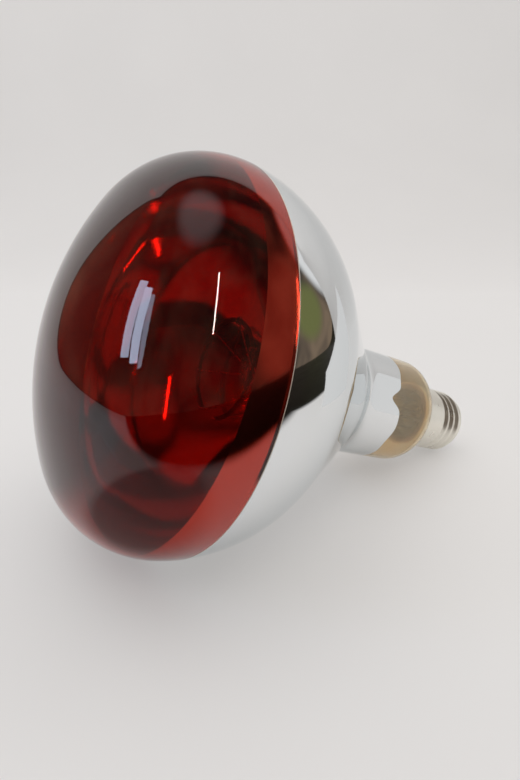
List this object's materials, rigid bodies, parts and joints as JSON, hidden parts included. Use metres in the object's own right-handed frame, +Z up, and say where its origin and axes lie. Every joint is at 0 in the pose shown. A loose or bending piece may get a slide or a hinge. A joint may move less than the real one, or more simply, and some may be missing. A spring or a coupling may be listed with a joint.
{
  "type": "infrared heat lamp bulb",
  "caption": "Reflector heat lamp bulb with a domed ruby face, mirrored flaring back, straight neck and an E27 screw cap, lying at rest; gives infrared heat from a lamp holder.",
  "frame": {"origin": "Middle of the bounding box in plan, on the floor plane that the back of the bulb and the last thread crest rest on.", "axes": "+Z is up. The lamp's axis lies in the XZ plane with the face towards -X and the cap towards +X, dropping about 21.3 degrees towards the cap."},
  "size_m": [0.1762, 0.1254, 0.1222],
  "materials": {
    "clear_glass": "clear blown glass, smooth",
    "ruby_lacquer": "deep ruby, transparent and glossy",
    "mirror_film": "bright aluminium film",
    "stem_glass": "clear glass",
    "nickel_wire": "drawn nickel wire",
    "tungsten": "coiled tungsten",
    "molybdenum": "thin molybdenum wire",
    "nickel_cap": "nickel-plated brass, rolled",
    "cap_cement": "baked basing cement, matt",
    "black_glass": "black opaque glass, glossy",
    "contact_brass": "stamped brass",
    "solder": "dull tin solder"
  },
  "bodies": {
    "root": {"glass_envelope": "clear_glass", "ruby_coating": "ruby_lacquer", "mirror_coating": "mirror_film", "stem": "stem_glass", "exhaust_tube": "stem_glass", "stem_rod": "stem_glass", "lead_to_shell": "nickel_wire", "lead_to_contact": "nickel_wire", "filament": "tungsten", "cap_shell": "nickel_cap", "cap_cement": "cap_cement", "cap_insulator": "black_glass", "centre_contact": "contact_brass", "contact_solder": "solder", "side_solder": "solder", "support_1": "molybdenum", "support_2": "molybdenum", "support_3": "molybdenum", "support_4": "molybdenum", "support_5": "molybdenum"}
  },
  "joints": []
}
